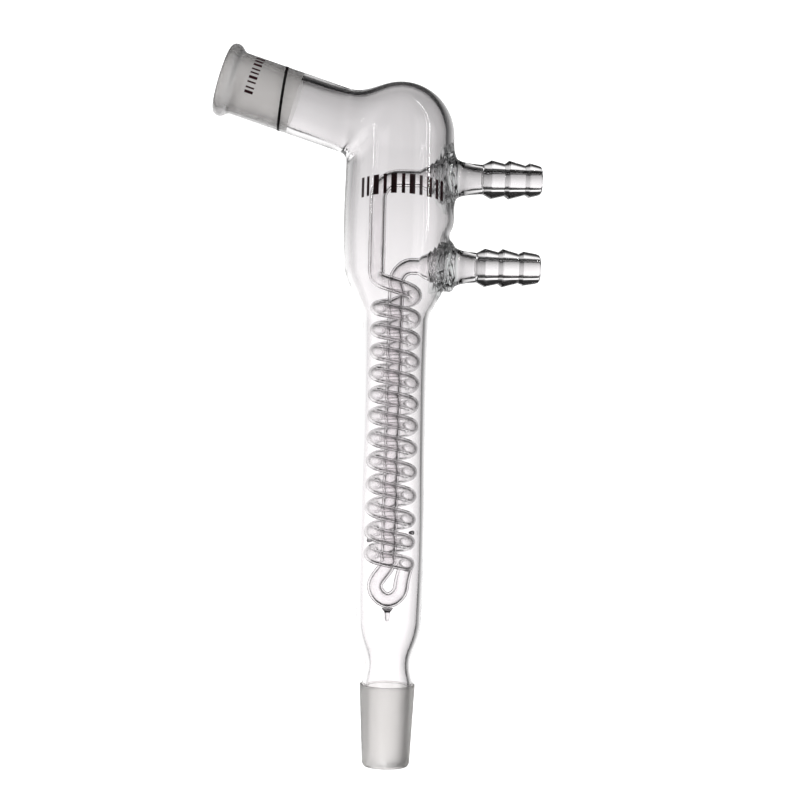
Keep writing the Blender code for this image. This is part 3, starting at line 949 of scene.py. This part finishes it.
def mix(tree, blend, factor, a, b):
    """Colour mix of two inputs, which are sockets or grey values."""
    node = tree.nodes.new("ShaderNodeMix")
    node.data_type = "RGBA"
    node.blend_type = blend
    for name, value in (("Factor", factor), ("A", a), ("B", b)):
        if not isinstance(value, float):
            tree.links.new(value, node.inputs[name])
        elif name == "Factor":
            node.inputs[name].default_value = value
        else:
            node.inputs[name].default_value = (value, value, value, 1)
    return node.outputs["Result"]


def glowing(name, table_of):
    """Plain white to the camera; to the glass it glows with painted light: a grey by compass direction times
    what table_of(tree) gives.
    """
    material, tree, shader = new_material(name)
    glow = mix(tree, "MULTIPLY", 1.0, around_ramp(tree, object_place(tree))[1], table_of(tree))
    seen = tree.nodes.new("ShaderNodeLightPath")
    shown = mix(tree, "MIX", seen.outputs["Is Camera Ray"], glow, 1.0)
    tree.links.new(shown, shader.inputs["Emission Color"])
    shader.inputs["Emission Strength"].default_value = FULL_LIGHT
    shader.inputs["Base Color"].default_value = (0.02, 0.02, 0.02, 1.0)
    shader.inputs["Roughness"].default_value = 1.0
    shader.inputs["Specular IOR Level"].default_value = 0.0
    return material


def floor_table(tree):
    """Painted reflection of a bright backdrop: the floor is brightest at a grazing angle."""
    grazing = tree.nodes.new("ShaderNodeLayerWeight")
    grazing.inputs["Blend"].default_value = 0.5
    return grey_ramp(tree, grazing.outputs["Facing"], 0, 1, FLOOR_GRAZING)


def screen_table(tree):
    """The screen fades upward."""
    parts = tree.nodes.new("ShaderNodeSeparateXYZ")
    tree.links.new(object_place(tree), parts.inputs["Vector"])
    return grey_ramp(tree, parts.outputs["Z"], 0, 1, SCREEN_UPWARD)


def make_floor():
    """Pale floor: plain white to the camera; to the glass it glows with painted light and a painted
    reflection.
    """
    bpy.ops.mesh.primitive_plane_add(size=FLOOR_SIZE, location=(0, 0, FLOOR_HEIGHT))
    floor = bpy.context.object
    floor.name = "floor"
    # The floor glows: painted light and a painted reflection, seen only by the glass.
    floor.data.materials.append(glowing("floor", floor_table))


def make_screen():
    """Pale screen behind the object: plain white to the camera; to the glass it glows with painted light that
    fades upward and by compass direction. It lets light through from its back.
    """
    x, y, z = SCREEN_HALF_WIDTH, SCREEN_DISTANCE, SCREEN_HEIGHT
    mesh = bpy.data.meshes.new("screen")
    mesh.from_pydata([(-x, y, 0), (x, y, 0), (x, y, z), (-x, y, z)], [], [(0, 1, 2, 3)])
    screen = bpy.data.objects.new("screen", mesh)
    bpy.context.scene.collection.objects.link(screen)
    material = glowing("screen", screen_table)
    tree = material.node_tree
    side = tree.nodes.new("ShaderNodeNewGeometry")
    clear = tree.nodes.new("ShaderNodeBsdfTransparent")
    blend = tree.nodes.new("ShaderNodeMixShader")
    tree.links.new(side.outputs["Backfacing"], blend.inputs["Fac"])
    tree.links.new(tree.nodes["Principled BSDF"].outputs["BSDF"], blend.inputs[1])
    tree.links.new(clear.outputs["BSDF"], blend.inputs[2])
    tree.links.new(blend.outputs["Shader"], tree.nodes["Material Output"].inputs["Surface"])
    mesh.materials.append(material)


def make_world():
    """Studio: a bright low background that fades upward and to the sides."""
    world = bpy.data.worlds.new("studio")
    bpy.context.scene.world = world
    world.use_nodes = True
    tree = world.node_tree
    tree.nodes.clear()
    place = tree.nodes.new("ShaderNodeTexCoord")
    height, around = around_ramp(tree, place.outputs["Generated"])
    upward = grey_ramp(tree, height, -1, 1, [(math.sin(math.radians(e)), v) for e, v in LIGHT_UPWARD])
    seen = tree.nodes.new("ShaderNodeLightPath")
    shown = mix(tree, "MIX", seen.outputs["Is Camera Ray"], mix(tree, "MULTIPLY", 1.0, upward, around), 1.0)
    background = tree.nodes.new("ShaderNodeBackground")
    background.inputs["Strength"].default_value = FULL_LIGHT
    tree.links.new(shown, background.inputs["Color"])
    output = tree.nodes.new("ShaderNodeOutputWorld")
    tree.links.new(background.outputs["Background"], output.inputs["Surface"])


def strip_light(name, azimuth, distance, width, height, centre_height, power):
    """Tall narrow soft box that faces the object; azimuth 0 is in front."""
    light = bpy.data.lights.new(name, "AREA")
    light.shape = "RECTANGLE"
    light.size = width
    light.size_y = height
    light.energy = power
    item = bpy.data.objects.new(name, light)
    angle = math.radians(azimuth)
    item.location = (distance * math.sin(angle), -distance * math.cos(angle), centre_height)
    toward = Vector((0, 0, centre_height)) - item.location
    item.rotation_mode = "QUATERNION"
    item.rotation_quaternion = toward.to_track_quat("-Z", "Y")
    bpy.context.scene.collection.objects.link(item)


def make_camera():
    """Level view from close in front, with a small shift and roll."""
    data = bpy.data.cameras.new("camera")
    data.sensor_width = 36.0
    data.lens = CAMERA_LENS
    data.clip_start = 0.01
    data.clip_end = 50.0
    item = bpy.data.objects.new("camera", data)
    bpy.context.scene.collection.objects.link(item)
    data.shift_x, data.shift_y = CAMERA_SHIFT
    look = Matrix.Rotation(math.radians(90), 4, "X")
    roll = Matrix.Rotation(math.radians(CAMERA_ROLL), 4, "Z")
    item.matrix_world = Matrix.Translation(Vector((0, -CAMERA_DISTANCE, CAMERA_HEIGHT))) @ look @ roll
    bpy.context.scene.camera = item


def set_light_paths():
    """Let rays pass through the many glass walls, and keep whites as they are."""
    scene = bpy.context.scene
    scene.view_settings.view_transform = "Standard"
    scene.cycles.max_bounces = 40
    scene.cycles.transmission_bounces = 36
    scene.cycles.glossy_bounces = 8
    scene.cycles.diffuse_bounces = 3
    scene.cycles.transparent_max_bounces = 12
    scene.cycles.sample_clamp_indirect = 8.0


make_envelope()
make_cone()
for side_name in PORTS:
    make_barb(side_name)
make_water_tube()
make_drip_tip()
make_pips()
make_prints("bulb_mark", BULB_BARS, bulb_place, 8, 6)
make_prints("socket_mark", SOCKET_TICKS, tick_place, 6, 4)
make_socket_line()
make_floor()
make_screen()
make_world()
for strip_name, strip in STRIPS.items():
    strip_light(strip_name, *strip)
make_camera()
set_light_paths()
